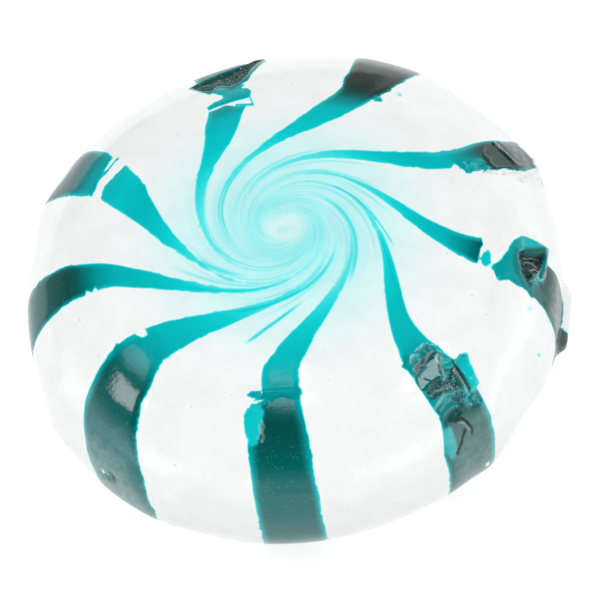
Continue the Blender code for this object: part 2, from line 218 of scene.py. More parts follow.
# A flat break: the way it faces, how far it lies below its rim, the depth of the
# turquoise seen in it at its least and greatest arc, its crushed and dull shares, its
# outline
Facet = namedtuple("Facet", "azimuth elevation sunk depths rough matte outline")
FACETS = (
    # near right stripe: a light face between two dark ones
    Facet(330, 78, 0.07, (5.5, 5.5), 0.2, 0.3, ((299.6, 9.25), (301.8, 8.88), (306, 8.8), (310, 8.93),
        (307.5, 9.12), (303.2, 9.2))),
    Facet(302, 64.3, 0.03, (4, 4), 0.02, 0, ((299, 9.55), (300, 9.25), (303.2, 9.16), (307.2, 9.04),
        (309.8, 8.93), (310.4, 9.2), (307.7, 9.62), (306.1, 10), (303.6, 9.94), (302.2, 9.96),
        (300.4, 10.02), (298.9, 9.98))),
    Facet(335, 74, 0.05, (4, 6), 0.4, 0.2, ((300.2, 10.04), (303, 9.96), (305.4, 10.02), (304.6, 10.35),
        (303.4, 10.62), (300.6, 10.6), (299.8, 10.25))),
    # its turquoise bits: one at the light face, the plate with its dark left, the wedge
    Facet(325, 74, 0.02, (1.7, 2.4), 0, 0, ((308.4, 9.4), (311.6, 9.72), (310.6, 9.95), (307, 9.88))),
    Facet(325, 70, 0.1, (5.5, 6.5), 0.3, 0.5, ((310.5, 9.95), (311.5, 9.82), (310.9, 10.6), (309.8, 11.25),
        (308.4, 11.4), (309.2, 10.8))),
    Facet(310, 76, 0, (0.95, 1.2), 0, 0, ((311.5, 9.82), (313.8, 9.8), (315.2, 9.98), (314.2, 10.3),
        (313.2, 10.8), (312.2, 11.28), (310.4, 11.42), (309.8, 11.25), (310.9, 10.6))),
    Facet(307.5, 50, 0.05, (5, 6), 0, 0, ((300.2, 11.42), (302.8, 11.32), (304.4, 11.35), (304.7, 11.72),
        (302.6, 11.9), (300.9, 11.75))),
    # lower right stripe: the hollow's bright wall, the hollow, painted dark as the shade in it, and the fins
    # over it
    Facet(345, 58, 0.04, (1.1, 1.8), 0, 0, ((350.4, 10.75), (352.2, 10.6), (354, 10.62), (354, 11.18),
        (353.75, 12.1), (352.3, 11.9), (351, 11.4), (350.3, 11.05))),
    Facet(20, 50, 0.2, (7, 9), 1, 0.6, ((350.6, 10.75), (350.4, 11.05), (351, 11.45), (352.2, 11.92),
        (351.2, 11.92), (346.8, 11.7), (343.4, 11.25), (344.2, 10.85), (346.8, 10.5), (349, 10.42))),
    Facet(337.5, 62, 0, (2.8, 3.4), 0, 0, ((353, 11.94), (353, 12.08), (348.8, 12.04), (345.2, 11.96),
        (344.3, 11.7), (345.2, 11.54), (348, 11.69), (351, 11.84))),
    # right stripe: the dark chip
    Facet(20, 55.3, 0.03, (7, 7), 0.05, 0.2, ((20.4, 9.85), (22.6, 10.2), (24, 10.75), (22.7, 10.98),
        (20.5, 11.05), (17.5, 11.26), (14.9, 11.4), (15.6, 10.9), (15.2, 10.3), (15.8, 10), (18.4, 10.02))),
    # far stripe: the chip below the rim
    Facet(95, 60, 0.06, (4.5, 7.5), 0.9, 0.7, ((109, 10.45), (107.4, 9.7), (105, 9.3), (102.5, 9.6),
        (99.5, 9.2), (96.5, 9.35), (94.2, 9.8), (92.3, 10.6), (89.6, 11.5), (88.6, 12.2), (90.5, 12.15),
        (94, 11.4), (98, 11), (102, 10.8), (106, 10.65))),
    # near stripe: turquoise between two reflections
    Facet(268, 80.5, 0, (2.2, 2.8), 0, 0, ((255.4, 7.86), (266.3, 7.84), (267.4, 8.05), (267, 8.5),
        (264.2, 8.33), (261.8, 8.18), (259.5, 8.3), (257.2, 8.6), (255.2, 8.75), (254.8, 8.3))),
    # near left stripe: the pit near the outline
    Facet(180, 20, 0.12, (4, 5), 0.1, 0.5, ((220.8, 14.45), (222.8, 13.76), (224.8, 13.88), (223.2, 14.4))),
)
# Crushed places: the size of the small faces, their slope, how deep they go, the depths
# of turquoise seen in them, the crushed and dull shares
Crumple = namedtuple("Crumple", "size tilt sunk depths rough matte outline")
CRUMPLES = (
    Crumple(0.22, 0.4, 0.08, (2.6, 3.6, 5), 0.75, 0.2, ((303.6, 10.4), (305.2, 9.95), (307, 9.75),
        (310.9, 10.1), (309.5, 10.7), (308.3, 11.35), (305.5, 11.4), (303.8, 11.1))),
    Crumple(0.3, 0.3, 0.04, (2.2, 2.8, 3.6), 0.25, 0.1, ((303, 8.5), (309.5, 8.4), (310.6, 8.9),
        (308.5, 9.15), (301.5, 9), (300.4, 8.8))),
    Crumple(0.24, 0.4, 0.06, (2, 3, 4), 0.6, 0.2, ((305.5, 11.25), (311, 11.35), (310.8, 12),
        (306.5, 11.9))),
    Crumple(0.25, 0.5, 0.14, (4, 6, 8), 1, 0.6, ((348.6, 10.4), (350, 10.8), (349.6, 11.6), (346, 11.4),
        (340.5, 11.2), (344, 10.6))),
    Crumple(0.3, 0.35, 0.05, (1.5, 2.2, 3), 0.5, 0.1, ((13, 9.5), (15.5, 8.6), (19, 8.6), (17, 9.6),
        (14.6, 10.2), (15, 11.4), (13, 11.4), (12.5, 10.5))),
    Crumple(0.3, 0.25, 0.05, (1.5,), 0.3, 0, ((10.5, 10.8), (14.8, 11.2), (17, 12.6), (23, 12.6),
        (20, 13.2), (12, 13))),
)
CRUMPLE_SPACING = 0.75
CRUMPLE_LEAST = 4
CRUMPLE_SUNK = (0.2, 1.0)
CRUMPLE_EDGE = (-0.02, 0.12)
# A crack: a groove with painted shade along it, as deep turquoise: half width, how deep it goes, the
# turquoise seen in it and its points
Crack = namedtuple("Crack", "width sunk depth line")
CRACKS = (
    Crack(0.08, 0.03, 9, ((302.2, 11.86), (303.9, 11.9), (304.6, 12.3), (304.9, 12.65), (304.4, 12.85))),
    Crack(0.1, 0.04, 9, ((303.4, 12.5), (302.4, 12.7), (301.4, 12.95), (299.8, 13.3))),
    Crack(0.06, 0.02, 8, ((311.4, 9.72), (310.4, 10), (308.8, 10.05), (307.6, 10.3))),
    Crack(0.06, 0, 5, ((302, 9.6), (303.4, 9.98), (304.8, 10.02), (305.6, 10.3), (304.4, 10.5))),
    Crack(0.3, 0, 4.5, ((350.6, 10.95), (351.3, 11.4), (352.3, 11.8))),
    Crack(0.05, 0.03, 0.6, ((339.5, 9.7), (334, 9.5), (329, 9.9))),
    Crack(0.06, 0.02, 9, ((20.6, 9.85), (19.2, 9.72), (16.2, 9.84), (14.6, 10.05), (15.4, 10.7),
        (14.9, 11.35))),
)
CRACK_FLAT = 0.3  # share of its half width with the full depth
# A painted glint: a thin pale line along broken sugar: half width, strength and its points
PaintedGlint = namedtuple("PaintedGlint", "width strength line")
PAINTED_GLINTS = (
    PaintedGlint(0.08, 0.37, ((301, 9.15), (303.2, 9.02), (304.4, 9.1), (306.4, 8.92), (308.6, 8.9))),
    PaintedGlint(0.07, 0.31, ((300.9, 9.02), (302.6, 8.92), (304.2, 8.9))),
    PaintedGlint(0.08, 0.22, ((301.5, 8.7), (303, 8.45), (304.6, 8.6), (303.8, 8.75))),
    PaintedGlint(0.08, 0.37, ((309.9, 9.08), (308.8, 9.45), (307.2, 9.7), (306.6, 10.05), (305.4, 10.15))),
    PaintedGlint(0.07, 0.31, ((308.4, 9.15), (307.6, 9.4), (308, 9.6))),
    PaintedGlint(0.08, 0.31, ((300.4, 10.35), (302, 10.28), (303.6, 10.4), (305.4, 10.42), (307, 10.7))),
    PaintedGlint(0.07, 0.28, ((303.9, 10.7), (305.6, 10.85), (307.4, 10.9))),
    PaintedGlint(0.08, 0.37, ((297.6, 11), (299.6, 10.9), (303.4, 10.62))),
    PaintedGlint(0.08, 0.28, ((300.6, 11.1), (302.4, 10.98), (304, 11))),
    PaintedGlint(0.07, 0.31, ((302.8, 12.02), (303.8, 12.18), (304.2, 12.6))),
    PaintedGlint(0.08, 0.22, ((310.4, 11.42), (311.6, 11.5), (311.4, 11.8))),
    PaintedGlint(0.07, 0.55, ((353, 11.96), (351.5, 12.02), (348.8, 11.99), (345.2, 11.93), (344.3, 11.7))),
    PaintedGlint(0.07, 0.52, ((348.9, 10.6), (349, 11), (350, 11.3), (350.2, 11.6))),
    PaintedGlint(0.07, 0.37, ((347.6, 10.9), (348.2, 11.25), (347.2, 11.5))),
    PaintedGlint(0.07, 0.52, ((345.2, 11.1), (346.4, 11.35), (346, 11.6), (344.4, 11.55))),
    PaintedGlint(0.07, 0.31, ((342.4, 11.2), (343.6, 11.4), (342.6, 11.5))),
    PaintedGlint(0.07, 0.64, ((23.9, 10.9), (21.6, 11.04), (18.8, 11.28), (16.6, 11.6))),
    PaintedGlint(0.08, 0.19, ((27, 7.2), (26, 7.35), (25.4, 7.6))),
    PaintedGlint(0.08, 0.31, ((256.2, 9.28), (256.8, 9.5), (256.4, 9.7), (256.9, 9.95), (256.5, 10.15))),
    PaintedGlint(0.08, 0.25, ((255.7, 9.45), (256, 9.8), (255.6, 10))),
    PaintedGlint(0.08, 0.31, ((106, 10.35), (103, 10.2), (101, 10.4))),
    PaintedGlint(0.08, 0.37, ((219.6, 14.45), (220.2, 14.1), (221.4, 14.3), (222.6, 14.5))),
)
GLINT_FLAT = 0.2

# A painted reflection: pale grey over turquoise where it is seen at a low angle: strength, slope of it and
# outline
PaintedReflection = namedtuple("PaintedReflection", "strength slope outline")
PAINTED_REFLECTIONS = (
    PaintedReflection(0.34, 0.5, ((25.5, 11.1), (26, 12.4), (20, 12.6), (14.5, 12.6), (13.8, 11.6), (18.5, 11.3),
        (22.6, 11.06))),
    PaintedReflection(0.42, 1.3, ((336.5, 12.2), (350, 12.1), (353, 13.6), (343, 14.35), (336.5, 14.9), (333, 15.3),
        (334.5, 13.6))),
    PaintedReflection(0.2, 1.2, ((205, 11.6), (228, 12), (236, 16), (208, 16))),
    PaintedReflection(0.14, 0.8, ((297, 12), (312, 12), (312, 16.5), (296, 16.5))),
    PaintedReflection(0.14, 0.5, ((50, 10.6), (72, 10.6), (74, 13), (48, 13))),
    PaintedReflection(0.12, 0.8, ((134, 11.2), (156, 10.8), (157, 13.5), (133, 13.5))),
    PaintedReflection(0.3, 0.12, ((309.6, 9.95), (311, 9.9), (310.4, 10.6), (309.4, 11.2), (307.6, 11.38),
        (308.6, 10.8))),
)
REFLECTION_MARGIN = 0.1

# Rings of the fine surface: up to an arc, the step between rings and the columns round
Band = namedtuple("Band", "end step columns")
BANDS = (
    Band(0.6, 0.1, 94), Band(1.6, 0.1, 188), Band(5, 0.1, 376), Band(7.3, 0.14, 376), Band(13.3, 0.07, 752),
    Band(16.2, 0.2, 376), Band(None, 0.32, 188),
)
COLUMNS_TURN_FROM = 1.0  # from this arc outwards the columns wind with the stripes
# Where the columns stand closer: middle and reach in degrees, and how much closer
CLOSER = ((304.0, 11.0), (346.0, 12.0), (18.0, 9.0), (99.0, 12.0), (260.0, 9.0))
CLOSENESS = 2.2
CLOSER_FADE = 3.0
AZIMUTH_STEP = 0.5
PROFILE_STEPS = 20000
KNOT_STEP = 0.05
KNOT_BLUR = 0.5

SEED = 7


def smooth_step(low, high, value):
    share = np.clip((value - low) / (high - low), 0.0, 1.0)
    return share * share * (3.0 - 2.0 * share)


def unit_vector(azimuth, elevation):
    around, above = math.radians(azimuth), math.radians(elevation)
    return np.array([math.cos(around) * math.cos(above), math.sin(around) * math.cos(above), math.sin(above)])


def wrapped(degrees):
    return (degrees + 180.0) % 360.0 - 180.0


def turned_profile():
    """Arc, radius, height and normal of the rounded profile, from top to bottom."""
    angle = np.linspace(math.pi / 2, -math.pi / 2, PROFILE_STEPS + 1)
    power = 2.0 / FULLNESS
    radius = RADIUS * np.abs(np.cos(angle)) ** power
    height = THICKNESS / 2 * np.sign(np.sin(angle)) * np.abs(np.sin(angle)) ** power
    radius[0] = 0.0
    radius[-1] = 0.0
    arc = np.concatenate([[0.0], np.cumsum(np.hypot(np.diff(radius), np.diff(height)))])
    return arc, radius, height, -np.gradient(height, arc), np.gradient(radius, arc)


ARC, PROFILE_RADIUS, PROFILE_HEIGHT, PROFILE_OUT, PROFILE_UP = turned_profile()
TOTAL_ARC = ARC[-1]
FOOT_ARC = float(ARC[np.argmax(PROFILE_HEIGHT <= FOOT_DEPTH - THICKNESS / 2)])


def radius_at(arc):
    return np.interp(arc, ARC, PROFILE_RADIUS)


def outline_share(azimuth):
    reach = sum(w.height * np.cos(np.radians(w.count * (azimuth - w.azimuth))) for w in WAVES)
    return 1.0 + reach / RADIUS


def nearer(arc):
    return np.minimum(arc, TOTAL_ARC - arc)


def twist_at(near):
    """Degrees that a stripe has turned where it gets to an arc."""
    outer = TWIST * np.maximum(TWIST_START / np.maximum(near, SPIRAL_FROM) - 1.0, 0.0) ** TWIST_POWER
    inner = np.log(SPIRAL_FROM / np.clip(near, INNERMOST, SPIRAL_FROM))
    return outer + math.degrees(SPIRAL_SLANT) * inner


def slant_at(near):
    """Turn for each unit of the logarithm of the arc: the tangent of the stripe's slant."""
    ratio = np.maximum(TWIST_START / np.maximum(near, SPIRAL_FROM) - 1.0, 1e-6)
    outer = math.radians(TWIST) * TWIST_POWER * ratio ** (TWIST_POWER - 1.0)
    outer = np.where(near < TWIST_START, outer * TWIST_START / np.maximum(near, 1.0), 0.0)
    return np.where(near < SPIRAL_FROM, SPIRAL_SLANT, outer)


def smooth_knots(values):
    """A curve through the edge values, rounded off at the knots."""
    fine = np.arange(0.0, TOTAL_ARC, KNOT_STEP)
    line = np.interp(fine, EDGE_ARCS, values)
    window = np.hanning(int(KNOT_BLUR / KNOT_STEP) | 1)
    window /= window.sum()
    padded = np.pad(line, len(window) // 2, mode="edge")
    return fine, np.convolve(padded, window, mode="valid")


def edge_at(values, arc):
    """Place of a stripe's edge at an arc: as the table says on the shown face and
    side, passing to the same shape on the other face."""
    fine, line = smooth_knots(values)
    shown = np.interp(np.minimum(arc, SIDE_MIX[0]), fine, line)
    hidden = np.interp(nearer(arc), fine, line)
    return shown + (hidden - shown) * smooth_step(*SIDE_MIX, arc)


def middle_azimuth(stripe, arc):
    turn = stripe.sweep * twist_at(nearer(arc))
    return stripe.azimuth + np.where(arc > TOTAL_ARC / 2, -turn, turn)


def stripe_depth(stripe, arc):
    depth = np.interp(nearer(arc) - stripe.onset * smooth_step(*ONSET_ARCS, arc), DEPTH_ARCS, DEPTHS)
    return np.minimum(depth, THIN) + stripe.thick * np.maximum(depth - THIN, 0.0)


def nearest_stripe(azimuth, arc, radius):
    """Signed distance to the nearest stripe's edge, positive inside the stripe, the
    depth of the turquoise there and how far in from the pale rim it is, 0 to 1."""
    best = np.full(azimuth.shape, -9.0)
    depth = np.zeros(azimuth.shape)
    core = np.zeros(azimuth.shape)
    narrowing = 1.0 - RIM_NARROWING * smooth_step(*RIM_NARROWING_ARCS, nearer(arc))
    slope = slant_at(nearer(arc))
    for stripe in STRIPES:
        across = np.radians(wrapped(azimuth - middle_azimuth(stripe, arc))) * radius
        slant = 1.0 / np.sqrt(1.0 + (slope * stripe.sweep) ** 2)
        sides = ((across - edge_at(stripe.low, arc)) * slant, (edge_at(stripe.high, arc) - across) * slant)
        inside = np.minimum(*sides)
        own_core = np.minimum(*(smooth_step(0.0, 1.0, side / (rim * narrowing))
                                for side, rim in zip(sides, stripe.rims)))
        depth = np.where(inside > best, stripe_depth(stripe, arc), depth)
        core = np.where(inside > best, own_core, core)
        best = np.maximum(best, inside)
    return best, depth, core


def drawn_streams():
    """The thin streams drawn at random beside each stripe."""
    draw = np.random.default_rng(SEED)
    for stripe in STRIPES:
        for place in STRAND_PLACES:
            start = draw.uniform(*STRAND_START)
            end = draw.uniform(*STRAND_END)
            azimuth = stripe.azimuth + place + draw.normal(0.0, STRAND_DRIFT)
            sweep = stripe.sweep + STRAND_LAG * place + draw.normal(0.0, STRAND_SWEEP)
            width = draw.uniform(*STRAND_WIDTH)
            depth = draw.uniform(*STRAND_DEPTH)
            yield Stream(azimuth, sweep, start, end, width, depth)


def strands(azimuth, arc, radius):
    """Depth of the thin streams that the stripes pull out into towards the middle."""
    near = nearer(arc)
    slant = 1.0 / np.sqrt(1.0 + slant_at(near) ** 2)
    turn = np.where(arc > TOTAL_ARC / 2, -1.0, 1.0) * twist_at(near)
    total = np.zeros(azimuth.shape)
    for streams, (rise, fall) in ((drawn_streams(), STRAND_FADES), (STREAMS, STREAM_FADES)):
        for stream in streams:
            off = np.radians(wrapped(azimuth - stream.azimuth - stream.sweep * turn))
            away = np.abs(off) * radius * slant
            along = smooth_step(stream.end, stream.end + rise, near)
            along *= 1.0 - smooth_step(stream.start - fall, stream.start, near)
            total = np.maximum(total, stream.depth * along * np.exp(-((away / stream.width) ** 2)))
    return total


def ring_plan():
    """Arc and number of columns of every ring, from the top to the foot."""
    rings, arc = [], 0.0
    for band in BANDS:
        end = band.end or FOOT_ARC
        steps = round((end - arc) / band.step)
        rings += [(arc + (end - arc) * (index + 1) / steps, band.columns) for index in range(steps)]
        arc = end
    return rings


def column_azimuths(count):
    """Azimuths of a ring's columns, closer together in the broken places."""
    even = np.arange(0.0, 360.0 + AZIMUTH_STEP, AZIMUTH_STEP)
    weight = np.ones(even.shape)
    for middle, reach in CLOSER:
        outside = smooth_step(reach, reach + CLOSER_FADE, np.abs(wrapped(even - middle)))
        weight += (CLOSENESS - 1.0) * (1.0 - outside)
    passed = np.concatenate([[0.0], np.cumsum((weight[1:] + weight[:-1]) / 2)])
    return np.interp(np.arange(count) / count * passed[-1], passed, even)


def ring_faces(upper, upper_count, lower, lower_count):
    """Faces between two rings, whose counts are the same or one twice the other."""
    faces = []
    if upper_count == lower_count:
        for index in range(upper_count):
            following = (index + 1) % upper_count
            faces.append((upper + index, lower + index, lower + following, upper + following))
        return faces
    flipped = upper_count > lower_count
    coarse, fine = (lower, upper) if flipped else (upper, lower)
    count = min(upper_count, lower_count)
    for index in range(count):
        following = (index + 1) % count
        left, right = coarse + index, coarse + following
        first, last = fine + 2 * index, fine + 2 * following
        middle = first + 1
        made = [(left, first, middle), (left, middle, right), (right, middle, last)]
        faces.extend(face[::-1] if flipped else face for face in made)
    return faces


def make_grid():
    """Azimuth and arc of every vertex, and the faces."""
    azimuths, arcs, faces = [np.zeros(1)], [np.zeros(1)], []
    start, previous = 1, None
    for arc, count in ring_plan():
        turn = float(twist_at(max(min(arc, TOTAL_ARC - arc), COLUMNS_TURN_FROM)))
        turn = -turn if arc > TOTAL_ARC / 2 else turn
        azimuths.append(column_azimuths(count) + turn)
        arcs.append(np.full(count, arc))
        if previous is None:
            faces += [(0, start + index, start + (index + 1) % count) for index in range(count)]
        else:
            faces += ring_faces(*previous, start, count)
        previous = (start, count)
        start += count
    azimuths.append(np.zeros(1))
    arcs.append(np.full(1, TOTAL_ARC))
    last, count = previous
    faces += [(start, last + (index + 1) % count, last + index) for index in range(count)]
    return np.concatenate(azimuths), np.concatenate(arcs), faces


def field_noise(points, scale, seed):
    """Smooth noise at points in millimetres, about -1 to 1."""
    offset = Vector((seed * 17.3, seed * 5.1, seed * 9.7))
    return np.array([noise.noise(Vector(p) / scale + offset) for p in points])


def polygon_distance(across, along, corners):
    """Signed distance in millimetres to a closed outline, positive inside."""
    nearest = np.full(across.shape, 1e9)
    inside = np.zeros(across.shape, dtype=bool)
    for (x0, y0), (x1, y1) in zip(corners, corners[1:] + corners[:1]):
        step_x, step_y = x1 - x0, y1 - y0
        share = ((across - x0) * step_x + (along - y0) * step_y) / max(step_x**2 + step_y**2, 1e-12)
        share = np.clip(share, 0.0, 1.0)
        nearest = np.minimum(nearest, np.hypot(across - x0 - share * step_x, along - y0 - share * step_y))
        if y0 != y1:
            crosses = (y0 > along) != (y1 > along)
            inside ^= crosses & (across < x0 + (along - y0) * step_x / step_y)
    return np.where(inside, nearest, -nearest)


class Region:
    """The vertices round an outline or a line, laid flat in millimetres."""

    def __init__(self, grid, outline, margin=MARGIN):
        azimuths, arcs = np.array(outline, dtype=float).T
        self.middle = azimuths.mean()
        span = np.abs(azimuths - self.middle).max() + np.degrees(margin / radius_at(arcs.min()))
        turned = wrapped(grid.azimuth - self.middle)
        near = (np.abs(turned) < span) & (grid.arc > arcs.min() - margin) & (grid.arc < arcs.max() + margin)
        self.rows = np.nonzero(near)[0]
        self.across = np.radians(turned[self.rows]) * grid.radius[self.rows]
        self.along = grid.arc[self.rows]
        self.corners = [(math.radians(azimuth - self.middle) * float(radius_at(arc)), arc)
                        for azimuth, arc in outline]
        self.inside = polygon_distance(self.across, self.along, self.corners)

    def near_line(self, width, flat_share):
        """How near a vertex is to the line, 1 on it and 0 from its half width on."""
        away = np.full(self.across.shape, 9.0)
        for pair in zip(self.corners, self.corners[1:]):
            away = np.minimum(away, np.abs(polygon_distance(self.across, self.along, list(pair))))
        return 1.0 - smooth_step(flat_share * width, width, away)


class Grid:
    """All vertices: where they are on the plain surface, and what is there."""

    def __init__(self):
        self.azimuth, self.arc, self.faces = make_grid()
        self.radius = radius_at(self.arc)
        direction = np.radians(self.azimuth)
        reach = self.radius * outline_share(self.azimuth)
        self.plain = np.stack([reach * np.cos(direction), reach * np.sin(direction),
                               np.interp(self.arc, ARC, PROFILE_HEIGHT)], axis=1)
        out = np.interp(self.arc, ARC, PROFILE_OUT)
        self.normal = np.stack([out * np.cos(direction), out * np.sin(direction),
                                np.interp(self.arc, ARC, PROFILE_UP)], axis=1)
        self.edge, self.depth, self.core = nearest_stripe(self.azimuth, self.arc, self.radius)
        self.strand = strands(self.azimuth, self.arc, self.radius)
        # the last field holds painted glints and painted reflections
        self.lift, self.broken, self.matte, self.painted_reflection = np.zeros((4, len(self.arc)))

    def blend(self, name, rows, value, share):
        """Bring a field part of the way to a value."""
        field = getattr(self, name)
        field[rows] += (value - field[rows]) * share

    def raise_to(self, name, rows, value):
        field = getattr(self, name)
        field[rows] = np.maximum(field[rows], value)

    def add_gap(self, outline):
        region = Region(self, outline)
        self.edge[region.rows] = np.minimum(self.edge[region.rows], -region.inside)

    def add_patch(self, depth, outline):
        region = Region(self, outline)
        share = smooth_step(*PATCH_EDGE, region.inside)
        self.raise_to("edge", region.rows, region.inside)
        self.blend("depth", region.rows, depth, share)
        self.raise_to("core", region.rows, share)

    def place(self, azimuth, arc):
        """Where a point of an outline lies, on the plain surface."""
        reach = float(radius_at(arc)) * float(outline_share(azimuth))
        direction = math.radians(azimuth)
        height = float(np.interp(arc, ARC, PROFILE_HEIGHT))
        return reach * math.cos(direction), reach * math.sin(direction), height

    def add_facet(self, facet):
        """A flat break: the surface is cut down to a plane inside an outline."""
        region = Region(self, facet.outline)
        rows = region.rows
        middle = np.mean([self.place(*corner) for corner in facet.outline], axis=0)
        plane = unit_vector(facet.azimuth, facet.elevation)
        facing = np.maximum(self.normal[rows] @ plane, LEAST_FACING)
        offset = ((middle - self.plain[rows]) @ plane) / facing - facet.sunk
        share = smooth_step(0.0, BREAK_WALL, region.inside)
        arcs = [arc for azimuth, arc in facet.outline]
        depth = np.interp(region.along, (min(arcs), max(arcs)), facet.depths)
        self.blend("lift", rows, np.clip(offset, -MAX_BREAK, MAX_RISE), share)
        self.blend("depth", rows, depth, share)
        self.blend("broken", rows, facet.rough, share)
        self.blend("matte", rows, facet.matte, share)
        self.raise_to("core", rows, share)

    def add_crumple(self, crumple, seed):
        """Crushed sugar: small flat faces at all angles."""
        region = Region(self, crumple.outline)
        rows = region.rows
        draw = np.random.default_rng(seed)
        low = np.array([region.across.min(), region.along.min()])
        size = np.array([region.across.max(), region.along.max()]) - low
        count = int(size[0] * size[1] / (crumple.size * CRUMPLE_SPACING) ** 2) + CRUMPLE_LEAST
        seeds = low + draw.random((count, 2)) * size
        tilts = draw.normal(0.0, crumple.tilt, (count, 2))
        sunk = draw.uniform(*CRUMPLE_SUNK, count) * crumple.sunk
        depths = draw.choice(crumple.depths, count)
        gaps = np.stack([region.across, region.along], axis=1)[:, None, :] - seeds[None, :, :]
        own = np.argmin((gaps**2).sum(axis=2), axis=1)
        offset = (gaps[np.arange(len(own)), own] * tilts[own]).sum(axis=1) - sunk[own]
        share = smooth_step(*CRUMPLE_EDGE, region.inside)
        self.lift[rows] += np.clip(offset, -MAX_BREAK, MAX_RISE) * share
        self.blend("depth", rows, depths[own], share * (self.edge[rows] > 0.0))
        self.raise_to("broken", rows, share * crumple.rough)
        self.raise_to("matte", rows, share * crumple.matte)
        self.raise_to("core", rows, share)

    def add_crack(self, crack):
        """A fine groove along a line of points, with painted shade: the crack's turquoise depth laid along
        it.
        """
        region = Region(self, crack.line)
        share = region.near_line(crack.width, CRACK_FLAT)
        self.lift[region.rows] -= crack.sunk * share
        self.blend("depth", region.rows, crack.depth, share)
        if crack.depth > THIN:
            self.raise_to("core", region.rows, share)
            self.raise_to("matte", region.rows, share)

    def add_painted_glint(self, glint):
        """A painted glint: a thin pale line along a line of points."""
        region = Region(self, glint.line)
        self.raise_to("painted_reflection", region.rows, glint.strength * region.near_line(glint.width, GLINT_FLAT))

    # a painted reflection: pale grey over the turquoise where it is seen at a low angle
    def add_painted_reflection(self, reflection):
        region = Region(self, reflection.outline, REFLECTION_MARGIN)
        share = smooth_step(0.0, reflection.slope, region.inside) * (1.0 - self.matte[region.rows])
        self.raise_to("painted_reflection", region.rows, reflection.strength * share)

    def add_bulges(self):
        side = smooth_step(*BULGE_ARCS, nearer(self.arc))
        for bulge in BULGES:
            away = np.abs(wrapped(self.azimuth - bulge.azimuth))
            self.lift += bulge.rise * side * (1.0 - smooth_step(0.0, bulge.reach, away))
        region = Region(self, LUMP)
        self.lift[region.rows] += LUMP_RISE * smooth_step(0.0, LUMP_SLOPE, region.inside)

    def add_flat(self):
        """The worn flat on the far shoulder: cut down to a plane."""
        facing = unit_vector(FLAT.azimuth, FLAT.elevation)
        farthest = np.max(PROFILE_RADIUS * np.hypot(facing[0], facing[1]) + PROFILE_HEIGHT * facing[2])
        excess = self.plain @ facing - (farthest - FLAT.depth)
        slope = self.normal @ facing
        cut = np.where((excess > 0.0) & (slope > FLAT_FACING), excess / np.maximum(slope, FLAT_FACING), 0.0)
        self.lift = np.minimum(self.lift, self.lift - cut)

    def add_relief(self):
        side = smooth_step(*RAISED_ARCS, nearer(self.arc))
        self.lift += RAISED * side * smooth_step(*RAISED_EDGE, self.edge)
        for seed, (height, size) in enumerate(UNEVEN, 1):
            self.lift += height * field_noise(self.plain, size, seed)

    def points(self):
        points = self.plain + self.normal * self.lift[:, None]
        points[:, 2] = np.maximum(points[:, 2], FOOT_DEPTH - THICKNESS / 2)
        return points + (*PLAN_SHIFT, THICKNESS / 2 - FOOT_DEPTH)


def surface():
    grid = Grid()
    for outline in GAPS:
        grid.add_gap(outline)
    for depth, outline in PATCHES:
        grid.add_patch(depth, outline)
    grid.add_relief()
    grid.add_flat()
    for index, crumple in enumerate(CRUMPLES):
        grid.add_crumple(crumple, SEED + index)
    for facet in FACETS:
        grid.add_facet(facet)
    grid.add_bulges()
    for crack in CRACKS:
        grid.add_crack(crack)
    for glint in PAINTED_GLINTS:
        grid.add_painted_glint(glint)
    for reflection in PAINTED_REFLECTIONS:
        grid.add_painted_reflection(reflection)
    return grid


def add_object(name, data):
    made = bpy.data.objects.new(name, data)
    bpy.context.scene.collection.objects.link(made)
    return made


def make_candy():
    grid = surface()
    data = bpy.data.meshes.new("candy_surface")
    data.from_pydata((grid.points() * MM).tolist(), [], grid.faces)
    data.update()
    for name in ("edge", "depth", "core", "strand", "broken", "matte", "painted_reflection"):
        layer = data.attributes.new(name, "FLOAT", "POINT")
        layer.data.foreach_set("value", getattr(grid, name).astype(np.float32))
    data.shade_smooth()
    return add_object("candy_surface", data)


class Graph:
    """Short calls for building a material's nodes."""

    def __init__(self, tree):
        self.tree = tree

    def feed(self, socket, value):
        if isinstance(value, bpy.types.NodeSocket):
            self.tree.links.new(value, socket)
        elif value is not None:
            socket.default_value = value

    def node(self, kind, *values, **settings):
        """A node with its settings, and its first inputs fed; None leaves one alone."""
        made = self.tree.nodes.new("ShaderNode" + kind)
        for name, value in settings.items():
            setattr(made, name, value)
        for socket, value in zip(made.inputs, values):
            self.feed(socket, value)
        return made

    def math(self, operation, *values):
        return self.node("Math", *values, operation=operation).outputs[0]

    def times(self, first, *others):
        for value in others:
            first = self.math("MULTIPLY", first, value)
        return first

    def plus(self, first, *others):
        for value in others:
            first = self.math("ADD", first, value)
        return first

    def vector(self, operation, *values):
        return self.node("VectorMath", *values, operation=operation).outputs[0]

    def ramp(self, value, *ramps):
        """The product of smooth ramps of one value."""
        return self.times(*(self.node("MapRange", value, *ramp, interpolation_type="SMOOTHSTEP").outputs[0]
                            for ramp in ramps))

    def mix(self, share, first, second):
        return self.node("Mix", share, None, first, second, data_type="FLOAT").outputs[0]

    def noise(self, place, kind):
        return self.node("TexNoise", place, None, *kind).outputs["Fac"]

    def field(self, name):
        return self.node("Attribute", attribute_type="GEOMETRY", attribute_name=name).outputs["Fac"]


# Noise: scale for each metre, detail and roughness
Noise = namedtuple("Noise", "scale detail roughness", defaults=(2.0, 0.5))
# A smooth ramp: from two values to two values
Ramp = namedtuple("Ramp", "low high to_low to_high", defaults=(0.0, 1.0))
# Specks: scale for each metre, share of the cells that have one, greatest size, strength
Specks = namedtuple("Specks", "scale chance size strength")

WHITE = (0.782, 0.795, 0.793)
# pale grey of the painted glints and reflections, and of crumbs and pits
REFLECTION_AND_SPECK_GREY = (0.58, 0.64, 0.64, 1.0)
